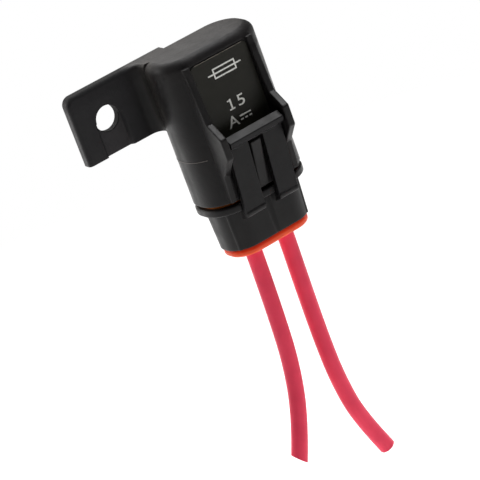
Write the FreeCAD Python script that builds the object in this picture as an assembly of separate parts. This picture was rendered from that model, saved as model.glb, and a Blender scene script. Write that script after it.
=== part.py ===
"""Sealed in-line blade fuse holder with a mounting ear, a snap latch and two wire leads.

Body coordinates while modelling, in millimetres: X = 0 is the centre plane between the two
wires, Y = 0 the centre plane through the fuse (front is -Y), Z = 0 the lower rim of the
cover. Every finished piece is then moved so that the origin is the centre of the mounting
hole on the back face of the ear.
"""
import FreeCAD, Part
import math
import os

# Cover: one moulding with the ear, the two guard rails and the lock ramp
COVER_WIDTH = 27.3
COVER_DEPTH = 16.4
COVER_HEIGHT = 36.0
COVER_CORNER = 7.3
COVER_WALL = 1.6
COVER_TOP_WALL = 2.0
COVER_TOP_ROUND = 2.2
RIM_ROUND = 0.3

# Mounting ear
EAR_REACH = 32.9
EAR_HEIGHT = 16.9
EAR_THICKNESS = 3.0
EAR_PROUD = 0.9
EAR_INNER_END = 5.2
EAR_CORNER = 2.2
EAR_BLEND = 2.5
EAR_FRONT_ROUND = 1.0
EAR_BACK_ROUND = 0.35
HOLE_RADIUS = 3.15
HOLE_FROM_EAR_END = 8.45
CHANNEL_WIDTH = 6.7
CHANNEL_DEPTH = 1.0
CHANNEL_SLOPE = 0.7

# Guard rails beside the latch, as distances forward of the cover's front face
RAIL_THICKNESS = 1.7
RAIL_TOP_DROP = 1.6
RAIL_LOW_PROUD = 0.4
RAIL_MID_PROUD = 1.8
RAIL_FULL_PROUD = 5.9
RAIL_MID_LEVEL = 20.3
RAIL_FULL_LEVEL = 17.0
RAIL_DROP_LEVEL = 12.0
RAIL_RETURN_PROUD = 1.4
RAIL_RETURN_LEVEL = 7.2
RAIL_ROUND = 0.7
RAIL_EDGE_ROUND = 0.25

# Label in its shallow recess between the rails
RECESS_TOP_DROP = 2.3
RECESS_LOW_LEVEL = 13.6
RECESS_DEPTH = 0.4
LABEL_THICKNESS = 0.2
LABEL_CLEARANCE = 0.15
LABEL_CORNER = 1.2
RECESS_TOP_SLOPE = 0.4

# Lock ramp on the front, held by the window of the latch
RAMP_WIDTH = 2.8
RAMP_PROUD = 3.2
RAMP_LEVEL = 12.4
RAMP_START_LEVEL = 0.3
RAMP_LEDGE_DROP = 0.3
RAMP_EDGE_ROUND = 0.3

# Connector body
SEAL_LIP = 0.75
LIP_CLEARANCE = 0.05
FLANGE_THICKNESS = 1.9
FLANGE_ROUND = 0.4
LOWER_WIDTH = 23.4
LOWER_FRONT = 6.65
LOWER_BACK = 6.3
LOWER_DEPTH_BELOW_RIM = 12.6
LOWER_TAPER = 0.35
LOWER_FRONT_CORNER = 5.8
LOWER_BACK_CORNER = 5.0
GROOVE_WIDTH = 1.8
GROOVE_DEPTH = 0.5
CORNER_RIB_RADIUS = 0.7
CORNER_RIB_PROUD = 0.22
CORNER_RIB_ANGLE = 47.0
NOSE_WIDTH = 20.6
NOSE_DEPTH = 10.4
NOSE_CORNER = 3.0
NOSE_HEIGHT = 14.4
NOSE_ROUND = 0.5
CAVITY_WIDTH = 7.4
CAVITY_DEPTH = 5.2
CAVITY_TOP_WALL = 1.5
SLOT_WIDTH = 5.7
SLOT_DEPTH = 1.2
SEAL_POCKET_WIDTH = 19.6
SEAL_POCKET_DEPTH = 9.4
SEAL_POCKET_CORNER = 4.0
SEAL_POCKET_HEIGHT = 8.15

# Latch arm, bent open about its foot
LATCH_WIDTH_TOP = 15.0
LATCH_WIDTH_FOOT = 14.8
LATCH_SIDE_CLEARANCE = 0.5
LATCH_THICKNESS = 1.3
LATCH_WINDOW_WIDTH = 4.2
LATCH_FOOT_FORWARD = 8.65
LATCH_FOOT_LEVEL = -2.9
LATCH_LEAN = 0.15
LATCH_WINDOW_TOP = 12.9
LATCH_BAR_HEIGHT = 3.4
LATCH_BAR_PROUD = 2.1
LATCH_BAR_DROP = 1.2
LATCH_BAR_FACE_LEAN = 0.3
LATCH_BAR_TOP_DEPTH = 1.9
LATCH_BAR_ROUND = 0.3
FOOT_CLEARANCE = 0.04
FOOT_BLOCK_HEIGHT = 1.6
FOOT_BLOCK_ROOT = 1.5
FOOT_BLOCK_FALL = 0.9
FOOT_BLOCK_ROUND = 1.1
LATCH_PASS_CLEARANCE = 0.15

# Seals
SEAL_CLEARANCE = 0.12
SEAL_RING_HEIGHT = 5.6
SEAL_RIB_DEPTH = 0.35
SEAL_RIB_PITCH = 1.6
SEAL_LIP_INSET = 1.1
WIRE_SEAL_CAP = 2.2
WIRE_SEAL_INSET = 0.45
WIRE_SEAL_ROUND = 0.8

# Blade fuse, regular automotive size
PITCH = 9.3
FUSE_WIDTH = 19.1
FUSE_BODY_DEPTH = 5.1
FUSE_WAIST_WIDTH = 17.2
FUSE_WAIST_DEPTH = 4.0
FUSE_HEIGHT = 12.3
FUSE_GRIP_HEIGHT = 3.6
FUSE_ROUND = 0.4
FUSE_CORNER = 0.8
BLADE_WIDTH = 5.2
BLADE_THICKNESS = 0.65
BLADE_LENGTH = 7.0
BLADE_TIP = 0.9
BLADE_INSIDE = 11.3
LINK_WIDTH = 1.1
LINK_LEVEL = 2.4
PROBE_WIDTH = 2.4
PROBE_DEPTH = 1.1

# Terminals
TERMINAL_SHEET = 0.4
BOX_WIDTH = 6.6
BOX_DEPTH = 3.4
BOX_HEIGHT = 8.2
BOX_TOP_GAP = 0.3
LEAF_CLEARANCE = 0.02
LEAF_WIDTH = 4.6
LEAF_LENGTH = 6.2
LEAF_TOUCH_LENGTH = 0.6
LEAF_ROOT = 0.9
LEAF_SHEET = 0.28
CRIMP_TOP = 3.6
CRIMP_LENGTH = 3.2
WIRE_GRIP_TOP = -0.7
WIRE_GRIP_LENGTH = 2.6

# Wires, 12 gauge
WIRE_DIAMETER = 4.1
CONDUCTOR_DIAMETER = 2.5

# Routes of the two wires below the body, chosen by hand: (X, Z), with Y = 0
LEFT_ROUTE = [(-4.65, -15.6), (-4.95, -30.9), (-5.6, -45.9), (-8.3, -59.4), (-12.6, -69.6)]
RIGHT_ROUTE = [(4.65, -15.6), (4.3, -30.9), (4.15, -45.9), (4.6, -57.0), (6.5, -68.4), (10.9, -79.3)]

# Places worked out from the sizes above
RAIL_GAP = LATCH_WIDTH_TOP + 2 * LATCH_SIDE_CLEARANCE
FRONT = COVER_DEPTH / 2
BACK = COVER_DEPTH / 2
EAR_BACK = BACK + EAR_PROUD
EAR_FRONT = EAR_BACK - EAR_THICKNESS
EAR_BOTTOM = COVER_HEIGHT - EAR_HEIGHT
HOLE_X = -EAR_REACH + HOLE_FROM_EAR_END
HOLE_Z = COVER_HEIGHT - EAR_HEIGHT / 2
FLANGE_TOP = -SEAL_LIP - LIP_CLEARANCE
FLANGE_BOTTOM = FLANGE_TOP - FLANGE_THICKNESS
BODY_BOTTOM = -LOWER_DEPTH_BELOW_RIM
SEAL_POCKET_TOP = BODY_BOTTOM + SEAL_POCKET_HEIGHT
CAVITY_TOP = NOSE_HEIGHT - CAVITY_TOP_WALL
WIRE_TOP = WIRE_GRIP_TOP
HUGE = 200.0


def vec(x, y, z):
    return FreeCAD.Vector(x, y, z)


def box(x0, x1, y0, y1, z0, z1):
    return Part.makeBox(x1 - x0, y1 - y0, z1 - z0, vec(x0, y0, z0))


def outline(half_width, front, back, front_corner, back_corner, level):
    """Closed plan wire of a rounded rectangle; front and back are measured from Y = 0."""
    corners = [
        (half_width - front_corner, -front + front_corner, front_corner, -90),
        (half_width - back_corner, back - back_corner, back_corner, 0),
        (-half_width + back_corner, back - back_corner, back_corner, 90),
        (-half_width + front_corner, -front + front_corner, front_corner, 180),
    ]
    edges = []
    last = None
    first = None
    for x, y, radius, start in corners:
        points = []
        for turn in (0, 45, 90):
            angle = math.radians(start + turn)
            points.append(vec(x + radius * math.cos(angle), y + radius * math.sin(angle), level))
        if last is not None and last.distanceToPoint(points[0]) > 1e-6:
            edges.append(Part.LineSegment(last, points[0]).toShape())
        edges.append(Part.Arc(*points).toShape())
        first = first or points[0]
        last = points[2]
    if last.distanceToPoint(first) > 1e-6:
        edges.append(Part.LineSegment(last, first).toShape())
    return Part.Wire(edges)


def rounded_block(half_width, half_depth, corner, bottom, top):
    wire = outline(half_width, half_depth, half_depth, corner, corner, bottom)
    return Part.Face(wire).extrude(vec(0, 0, top - bottom))


def side_profile(points, x0, x1):
    """Extrude an outline of (forward, level) points along X from x0 to x1."""
    corners = [vec(x0, -forward, level) for forward, level in points]
    wire = Part.makePolygon(corners + corners[:1])
    return Part.Face(wire).extrude(vec(x1 - x0, 0, 0))


def front_profile(points, y0, y1):
    """Extrude an outline of (X, level) points along Y from y0 to y1."""
    corners = [vec(x, y0, level) for x, level in points]
    wire = Part.makePolygon(corners + corners[:1])
    return Part.Face(wire).extrude(vec(0, y1 - y0, 0))


def edges_where(shape, test):
    """Edges whose end points and middle all pass the test."""
    found = []
    for edge in shape.Edges:
        middle = edge.valueAt((edge.FirstParameter + edge.LastParameter) / 2)
        points = [vertex.Point for vertex in edge.Vertexes] + [middle]
        if all(test(point) for point in points):
            found.append(edge)
    return found


def rounded(shape, radius, test):
    edges = edges_where(shape, test)
    return shape.makeFillet(radius, edges) if edges else shape


def near(value, target):
    return abs(value - target) < 1e-4


def upright(x, y, radius, bottom, top):
    return Part.makeCylinder(radius, top - bottom, vec(x, y, bottom))


def make_ear():
    """Flat ear behind the cover's left flank, blended into the flank by a hollow arc."""
    corner_x = -COVER_WIDTH / 2 + COVER_CORNER
    corner_y = BACK - COVER_CORNER
    blend_y = EAR_FRONT - EAR_BLEND
    reach = math.sqrt((COVER_CORNER + EAR_BLEND) ** 2 - (blend_y - corner_y) ** 2)
    blend_x = corner_x - reach
    to_centre = vec(corner_x - blend_x, corner_y - blend_y, 0).normalize()
    on_flank = vec(blend_x, blend_y, EAR_BOTTOM) + to_centre * EAR_BLEND
    on_ear = vec(blend_x, EAR_FRONT, EAR_BOTTOM)
    middle_way = (to_centre + vec(0, 1, 0)).normalize()
    on_arc = vec(blend_x, blend_y, EAR_BOTTOM) + middle_way * EAR_BLEND
    inner = vec(corner_x, corner_y, EAR_BOTTOM)
    back_inner = vec(-EAR_INNER_END, EAR_BACK, EAR_BOTTOM)
    front_inner = vec(-EAR_INNER_END, corner_y, EAR_BOTTOM)
    end_back = vec(-EAR_REACH, EAR_BACK, EAR_BOTTOM)
    end_front = vec(-EAR_REACH, EAR_FRONT, EAR_BOTTOM)
    wire = Part.Wire([
        Part.LineSegment(end_back, end_front).toShape(),
        Part.LineSegment(end_front, on_ear).toShape(),
        Part.Arc(on_ear, on_arc, on_flank).toShape(),
        Part.LineSegment(on_flank, inner).toShape(),
        Part.LineSegment(inner, front_inner).toShape(),
        Part.LineSegment(front_inner, back_inner).toShape(),
        Part.LineSegment(back_inner, end_back).toShape(),
    ])
    ear = Part.Face(wire).extrude(vec(0, 0, EAR_HEIGHT))
    ear = rounded(ear, EAR_CORNER, lambda p: near(p.x, -EAR_REACH) and near(p.z, COVER_HEIGHT))
    end_or_top = -EAR_REACH + EAR_CORNER + 1e-4
    ear = rounded(
        ear, EAR_FRONT_ROUND,
        lambda p: near(p.y, EAR_FRONT) and (near(p.x, -EAR_REACH) or near(p.z, COVER_HEIGHT)
                                            or p.x < end_or_top and p.z > COVER_HEIGHT - EAR_CORNER - 1e-4)
        and p.x < blend_x + 1e-4,
    )
    ear = rounded(ear, EAR_BACK_ROUND, lambda p: near(p.y, EAR_BACK) and p.x < -EAR_INNER_END - 1e-4)
    ear = ear.cut(Part.makeCylinder(HOLE_RADIUS, HUGE, vec(HOLE_X, -HUGE / 2, HOLE_Z), vec(0, 1, 0)))
    half = CHANNEL_WIDTH / 2
    floor = EAR_FRONT + CHANNEL_DEPTH
    corners = [
        vec(HOLE_X - half, floor, EAR_BOTTOM - 1),
        vec(HOLE_X + half, floor, EAR_BOTTOM - 1),
        vec(HOLE_X + half + CHANNEL_SLOPE, EAR_FRONT - 0.01, EAR_BOTTOM - 1),
        vec(HOLE_X - half, EAR_FRONT - 0.01, EAR_BOTTOM - 1),
    ]
    channel = Part.Face(Part.makePolygon(corners + corners[:1])).extrude(vec(0, 0, HOLE_Z - EAR_BOTTOM + 1))
    return ear.cut(channel)


def make_rail(side):
    """Guard rail: almost flush at the top, stepping out beside the thumb bar, then fading to the rim."""
    inner = RAIL_GAP / 2
    root = FRONT - COVER_WALL / 2
    top = COVER_HEIGHT - RAIL_TOP_DROP
    points = [
        (root, RAMP_START_LEVEL),
        (FRONT + RAIL_LOW_PROUD, RAMP_START_LEVEL),
        (FRONT + RAIL_RETURN_PROUD, RAIL_RETURN_LEVEL),
        (FRONT + RAIL_FULL_PROUD, RAIL_DROP_LEVEL),
        (FRONT + RAIL_FULL_PROUD, RAIL_FULL_LEVEL),
        (FRONT + RAIL_MID_PROUD, RAIL_MID_LEVEL),
        (FRONT + RAIL_LOW_PROUD, top - RAIL_LOW_PROUD),
        (root, top + (FRONT - root)),
    ]
    x0 = side * inner if side > 0 else -inner - RAIL_THICKNESS
    # the rail also reaches back into the rounded corner of the cover
    points[0] = (root - COVER_CORNER / 4, RAMP_START_LEVEL)
    points[-1] = (root - COVER_CORNER / 4, top - RAIL_LOW_PROUD)
    rail = side_profile(points, x0, x0 + RAIL_THICKNESS)
    full = FRONT + RAIL_FULL_PROUD
    rail = rounded(rail, RAIL_ROUND, lambda p: near(p.y, -full) and (near(p.z, RAIL_DROP_LEVEL) or near(p.z, RAIL_FULL_LEVEL)))
    low = FRONT + RAIL_LOW_PROUD
    faces = (x0, x0 + RAIL_THICKNESS)
    return rounded(
        rail, RAIL_EDGE_ROUND,
        lambda p: (near(p.x, faces[0]) or near(p.x, faces[1])) and -p.y > low - 1e-4 and p.z < top - RAIL_LOW_PROUD + 1e-4,
    )


def make_lock_ramp():
    root = FRONT - COVER_WALL / 2
    half = RAMP_WIDTH / 2
    points = [
        (root, RAMP_START_LEVEL),
        (FRONT, RAMP_START_LEVEL),
        (FRONT + RAMP_PROUD, RAMP_LEVEL - RAMP_LEDGE_DROP),
        (FRONT + RAMP_PROUD - RAMP_LEDGE_DROP, RAMP_LEVEL),
        (root, RAMP_LEVEL),
    ]
    return rounded(
        side_profile(points, -half, half), RAMP_EDGE_ROUND,
        lambda p: near(abs(p.x), half) and -p.y > FRONT - 1e-4 and p.z < RAMP_LEVEL - RAMP_LEDGE_DROP + 1e-4 and p.z > RAMP_START_LEVEL - 1e-4,
    )


def make_cover():
    shell = rounded_block(COVER_WIDTH / 2, FRONT, COVER_CORNER, 0, COVER_HEIGHT)
    shell = rounded(shell, COVER_TOP_ROUND, lambda p: near(p.z, COVER_HEIGHT))
    shell = rounded(shell, RIM_ROUND, lambda p: near(p.z, 0))
    shell = shell.fuse([make_ear(), make_rail(-1), make_rail(1)])
    recess_top = COVER_HEIGHT - RECESS_TOP_DROP
    recess = side_profile([
        (FRONT - RECESS_DEPTH, RECESS_LOW_LEVEL),
        (FRONT + RAIL_FULL_PROUD, RECESS_LOW_LEVEL),
        (FRONT + RAIL_FULL_PROUD, recess_top + RECESS_TOP_SLOPE),
        (FRONT, recess_top + RECESS_TOP_SLOPE),
        (FRONT - RECESS_DEPTH, recess_top),
    ], -RAIL_GAP / 2, RAIL_GAP / 2)
    shell = shell.cut(recess)
    shell = shell.fuse(make_lock_ramp())
    cavity = rounded_block(
        COVER_WIDTH / 2 - COVER_WALL, FRONT - COVER_WALL, COVER_CORNER - COVER_WALL,
        -1, COVER_HEIGHT - COVER_TOP_WALL,
    )
    return shell.cut(cavity).removeSplitter()


def make_label():
    half = RAIL_GAP / 2 - LABEL_CLEARANCE
    low = RECESS_LOW_LEVEL + LABEL_CLEARANCE
    high = COVER_HEIGHT - RECESS_TOP_DROP - LABEL_CLEARANCE
    floor = -FRONT + RECESS_DEPTH
    label = box(-half, half, floor - LABEL_THICKNESS, floor, low, high)
    return rounded(label, LABEL_CORNER, lambda p: near(abs(p.x), half) and near(p.z, high))


def arm_front(level):
    """Distance forward of the latch arm's front face at a level."""
    foot = LATCH_FOOT_FORWARD + LATCH_THICKNESS / 2
    return foot + LATCH_LEAN * (level - LATCH_FOOT_LEVEL)


def make_latch_arm():
    """Arm with a window for the lock ramp, a thumb bar on top and a round foot to bend about."""
    back = LATCH_THICKNESS
    top = LATCH_WINDOW_TOP + LATCH_BAR_HEIGHT
    at_bar = arm_front(LATCH_WINDOW_TOP)
    arm = side_profile([
        (arm_front(LATCH_FOOT_LEVEL) - back, LATCH_FOOT_LEVEL),
        (arm_front(LATCH_FOOT_LEVEL), LATCH_FOOT_LEVEL),
        (at_bar, LATCH_WINDOW_TOP),
        (at_bar + LATCH_BAR_PROUD - LATCH_BAR_FACE_LEAN, top - 2 * LATCH_BAR_DROP),
        (at_bar + LATCH_BAR_PROUD, top - LATCH_BAR_DROP),
        (at_bar + LATCH_BAR_PROUD - LATCH_BAR_TOP_DEPTH, top),
        (at_bar - back, LATCH_WINDOW_TOP + LATCH_THICKNESS),
        (at_bar - back, LATCH_WINDOW_TOP),
    ], -LATCH_WIDTH_TOP, LATCH_WIDTH_TOP)
    foot = Part.makeCylinder(
        LATCH_THICKNESS / 2, 2 * LATCH_WIDTH_TOP,
        vec(-LATCH_WIDTH_TOP, -LATCH_FOOT_FORWARD, LATCH_FOOT_LEVEL), vec(1, 0, 0),
    )
    arm = arm.fuse(foot)
    half = LATCH_WINDOW_WIDTH / 2
    arm = arm.cut(box(-half, half, -HUGE, HUGE, -HUGE, LATCH_WINDOW_TOP))
    at_foot = LATCH_WIDTH_FOOT / 2
    at_top = LATCH_WIDTH_TOP / 2
    below = LATCH_FOOT_LEVEL - LATCH_THICKNESS
    keep = front_profile([
        (-at_foot, below), (at_foot, below), (at_foot, LATCH_FOOT_LEVEL), (at_top, LATCH_WINDOW_TOP), (at_top, top + 1),
        (-at_top, top + 1), (-at_top, LATCH_WINDOW_TOP), (-at_foot, LATCH_FOOT_LEVEL),
    ], -HUGE / 2, HUGE / 2)
    arm = arm.common(keep).removeSplitter()
    bar_front = at_bar + LATCH_BAR_PROUD
    return rounded(arm, LATCH_BAR_ROUND, lambda p: near(p.y, -bar_front) and near(p.z, top - LATCH_BAR_DROP))


def make_foot_block(side):
    """Ledge on the connector body that carries one leg of the latch, with a round seat."""
    inner = LATCH_WINDOW_WIDTH / 2
    outer = LATCH_WIDTH_FOOT / 2
    x0 = inner if side > 0 else -outer
    forward = LATCH_FOOT_FORWARD + LATCH_THICKNESS / 2
    low = LATCH_FOOT_LEVEL - FOOT_BLOCK_HEIGHT
    points = [
        (LOWER_FRONT - FOOT_BLOCK_ROOT, LATCH_FOOT_LEVEL),
        (forward, LATCH_FOOT_LEVEL),
        (forward, low),
        (LOWER_FRONT - FOOT_BLOCK_ROOT, low - FOOT_BLOCK_FALL * (forward - LOWER_FRONT + FOOT_BLOCK_ROOT) / (forward - LOWER_FRONT)),
    ]
    block = side_profile(points, x0, x0 + outer - inner)
    return rounded(block, FOOT_BLOCK_ROUND, lambda p: near(p.y, -forward) and near(p.z, low))


def make_corner_rib(side):
    """Thin upright rib on a front corner of the lower body."""
    angle = math.radians(CORNER_RIB_ANGLE)
    reach = LOWER_FRONT_CORNER + CORNER_RIB_PROUD - CORNER_RIB_RADIUS
    x = side * (LOWER_WIDTH / 2 - LOWER_FRONT_CORNER + reach * math.sin(angle))
    y = -(LOWER_FRONT - LOWER_FRONT_CORNER + reach * math.cos(angle))
    inward = LOWER_TAPER
    top = Part.Wire([Part.makeCircle(CORNER_RIB_RADIUS, vec(x, y, FLANGE_BOTTOM), vec(0, 0, 1))])
    foot = Part.Wire([Part.makeCircle(CORNER_RIB_RADIUS, vec(x - side * inward, y + inward, BODY_BOTTOM), vec(0, 0, 1))])
    return Part.makeLoft([foot, top], True)


def make_connector_body():
    flange = rounded_block(COVER_WIDTH / 2, FRONT, COVER_CORNER, FLANGE_BOTTOM, FLANGE_TOP)
    flange = rounded(flange, FLANGE_ROUND, lambda p: near(p.z, FLANGE_BOTTOM) or near(p.z, FLANGE_TOP))
    half = LOWER_WIDTH / 2
    lower = Part.makeLoft([
        outline(half - LOWER_TAPER, LOWER_FRONT - LOWER_TAPER, LOWER_BACK - LOWER_TAPER,
                LOWER_FRONT_CORNER, LOWER_BACK_CORNER, BODY_BOTTOM),
        outline(half, LOWER_FRONT, LOWER_BACK, LOWER_FRONT_CORNER, LOWER_BACK_CORNER, FLANGE_BOTTOM),
    ], True)
    nose = rounded_block(NOSE_WIDTH / 2, NOSE_DEPTH / 2, NOSE_CORNER, FLANGE_BOTTOM, NOSE_HEIGHT)
    nose = rounded(nose, NOSE_ROUND, lambda p: near(p.z, NOSE_HEIGHT))
    ribs = [make_corner_rib(-1), make_corner_rib(1)]
    body = lower.fuse([flange, nose, make_foot_block(-1), make_foot_block(1)] + ribs)
    seat_width = LATCH_WIDTH_FOOT / 2 + LATCH_PASS_CLEARANCE
    window = LATCH_WINDOW_WIDTH / 2 - LATCH_PASS_CLEARANCE
    seat_radius = LATCH_THICKNESS / 2 + FOOT_CLEARANCE
    for side in (-1, 1):
        x0 = window if side > 0 else -seat_width
        length = seat_width - window
        seat = Part.makeCylinder(seat_radius, length, vec(x0, -LATCH_FOOT_FORWARD, LATCH_FOOT_LEVEL), vec(1, 0, 0))
        pass_back = LATCH_FOOT_FORWARD - seat_radius
        way = box(x0, x0 + length, -FRONT - 5, -pass_back, LATCH_FOOT_LEVEL, 1.0)
        body = body.cut(seat).cut(way)
    hollow = ((GROOVE_WIDTH / 2) ** 2 + GROOVE_DEPTH ** 2) / (2 * GROOVE_DEPTH)
    body = body.cut(upright(0, -LOWER_FRONT + GROOVE_DEPTH - hollow, hollow, BODY_BOTTOM - 1, FLANGE_BOTTOM))
    pocket = rounded_block(SEAL_POCKET_WIDTH / 2, SEAL_POCKET_DEPTH / 2, SEAL_POCKET_CORNER, BODY_BOTTOM - 1, SEAL_POCKET_TOP)
    body = body.cut(pocket)
    for side in (-1, 1):
        x = side * PITCH / 2
        cavity = box(x - CAVITY_WIDTH / 2, x + CAVITY_WIDTH / 2, -CAVITY_DEPTH / 2, CAVITY_DEPTH / 2, SEAL_POCKET_TOP - 1, CAVITY_TOP)
        slot = box(x - SLOT_WIDTH / 2, x + SLOT_WIDTH / 2, -SLOT_DEPTH / 2, SLOT_DEPTH / 2, CAVITY_TOP - 1, NOSE_HEIGHT + 1)
        body = body.cut(cavity).cut(slot)
    return body.removeSplitter()


def make_interface_seal():
    """Ring round the foot of the nose with a flat lip that the cover's rim presses on."""
    outer_width = COVER_WIDTH / 2 - COVER_WALL - SEAL_CLEARANCE
    outer_depth = FRONT - COVER_WALL - SEAL_CLEARANCE
    corner = COVER_CORNER - COVER_WALL - SEAL_CLEARANCE
    inset = SEAL_RIB_DEPTH
    ring = rounded_block(outer_width - inset, outer_depth - inset, corner - inset, FLANGE_TOP, FLANGE_TOP + SEAL_RING_HEIGHT)
    rib_height = SEAL_RIB_PITCH / 2
    count = int((SEAL_RING_HEIGHT - SEAL_LIP) // SEAL_RIB_PITCH)
    for index in range(count):
        bottom = FLANGE_TOP + SEAL_LIP + rib_height / 2 + 0.1 + index * SEAL_RIB_PITCH
        rib = rounded_block(outer_width, outer_depth, corner, bottom, bottom + rib_height)
        rib = rounded(rib, inset * 0.8, lambda p: True)
        ring = ring.fuse(rib)
    lip = rounded_block(
        COVER_WIDTH / 2 - SEAL_LIP_INSET, FRONT - SEAL_LIP_INSET, COVER_CORNER - SEAL_LIP_INSET,
        FLANGE_TOP, FLANGE_TOP + SEAL_LIP,
    )
    way = LATCH_FOOT_FORWARD - LATCH_THICKNESS / 2 - LATCH_PASS_CLEARANCE
    lip = lip.cut(box(-LATCH_WIDTH_FOOT / 2 - 0.2, LATCH_WIDTH_FOOT / 2 + 0.2, -FRONT - 1, -way, -HUGE, HUGE))
    seal = ring.fuse(lip)
    hole = rounded_block(NOSE_WIDTH / 2, NOSE_DEPTH / 2, NOSE_CORNER, FLANGE_TOP - 1, NOSE_HEIGHT)
    return seal.cut(hole).removeSplitter()


def make_wire_seal(wires):
    """Two-hole plug in the lower body, with the rounded cap that shows below it; the holes follow the wires."""
    plug = rounded_block(SEAL_POCKET_WIDTH / 2, SEAL_POCKET_DEPTH / 2, SEAL_POCKET_CORNER, BODY_BOTTOM, SEAL_POCKET_TOP)
    inset = LOWER_TAPER + WIRE_SEAL_INSET
    cap_wire = outline(
        LOWER_WIDTH / 2 - inset, LOWER_FRONT - inset, LOWER_BACK - inset,
        LOWER_FRONT_CORNER - WIRE_SEAL_INSET, LOWER_BACK_CORNER - WIRE_SEAL_INSET, BODY_BOTTOM - WIRE_SEAL_CAP,
    )
    cap = Part.Face(cap_wire).extrude(vec(0, 0, WIRE_SEAL_CAP))
    cap = rounded(cap, WIRE_SEAL_ROUND, lambda p: near(p.z, BODY_BOTTOM - WIRE_SEAL_CAP))
    seal = plug.fuse(cap)
    return seal.cut(wires)


def make_fuse_element():
    """One stamping: two blades joined by a narrow S-shaped link."""
    half = BLADE_THICKNESS / 2
    top = NOSE_HEIGHT + BLADE_INSIDE
    bottom = NOSE_HEIGHT - BLADE_LENGTH
    shapes = []
    for side in (-1, 1):
        x = side * PITCH / 2
        w = BLADE_WIDTH / 2
        shapes.append(front_profile([
            (x - w + BLADE_TIP, bottom), (x + w - BLADE_TIP, bottom), (x + w, bottom + BLADE_TIP), (x + w, top),
            (x - w, top), (x - w, bottom + BLADE_TIP),
        ], -half, half))
    inner = PITCH / 2 - BLADE_WIDTH / 2
    low = NOSE_HEIGHT + LINK_LEVEL
    high = low + 4 * LINK_WIDTH
    shapes.append(front_profile([
        (-inner - 0.1, high), (0.2 * LINK_WIDTH, high), (0.2 * LINK_WIDTH, low + LINK_WIDTH), (inner + 0.1, low + LINK_WIDTH),
        (inner + 0.1, low), (-0.8 * LINK_WIDTH, low), (-0.8 * LINK_WIDTH, high - LINK_WIDTH), (-inner - 0.1, high - LINK_WIDTH),
    ], -half, half))
    return shapes[0].fuse(shapes[1:]).removeSplitter()


def make_fuse_body():
    """Plastic body with a thick grip on top, a thinner waist and two probe windows."""
    top = NOSE_HEIGHT + FUSE_HEIGHT
    half = FUSE_WIDTH / 2
    waist = FUSE_WAIST_WIDTH / 2
    grip = rounded_block(half, FUSE_BODY_DEPTH / 2, FUSE_CORNER, top - FUSE_GRIP_HEIGHT, top)
    grip = rounded(grip, FUSE_ROUND, lambda p: near(p.z, top))
    lower = rounded_block(waist, FUSE_WAIST_DEPTH / 2, FUSE_CORNER, NOSE_HEIGHT, top - FUSE_GRIP_HEIGHT)
    body = grip.fuse(lower)
    hollow = box(
        -PITCH / 2 - BLADE_WIDTH / 2, PITCH / 2 + BLADE_WIDTH / 2, -BLADE_THICKNESS / 2, BLADE_THICKNESS / 2,
        NOSE_HEIGHT - 1, NOSE_HEIGHT + BLADE_INSIDE,
    )
    body = body.cut(hollow)
    for side in (-1, 1):
        x = side * PITCH / 2
        body = body.cut(box(
            x - PROBE_WIDTH / 2, x + PROBE_WIDTH / 2, -PROBE_DEPTH / 2, PROBE_DEPTH / 2,
            NOSE_HEIGHT + BLADE_INSIDE - 0.2, top + 1,
        ))
    return body.removeSplitter()


def make_leaf(side_x, side_y, top):
    """Spring tongue of a terminal, folded down inside the box to press on the blade."""
    root = BOX_DEPTH / 2 - TERMINAL_SHEET
    touch = BLADE_THICKNESS / 2 + LEAF_CLEARANCE
    low = top - LEAF_LENGTH
    touch_high = (top + low + LEAF_TOUCH_LENGTH) / 2
    touch_low = touch_high - LEAF_TOUCH_LENGTH
    points = [
        (root, top), (root - LEAF_SHEET, top), (touch, touch_high), (touch, touch_low), (root - LEAF_SHEET, low),
        (root, low), (root, low + LEAF_ROOT), (touch + LEAF_SHEET, touch_low), (touch + LEAF_SHEET, touch_high),
        (root, top - LEAF_ROOT),
    ]
    leaf = side_profile(points, side_x - LEAF_WIDTH / 2, side_x + LEAF_WIDTH / 2)
    if side_y > 0:
        leaf = leaf.mirror(vec(0, 0, 0), vec(0, 1, 0))
    return leaf


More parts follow.
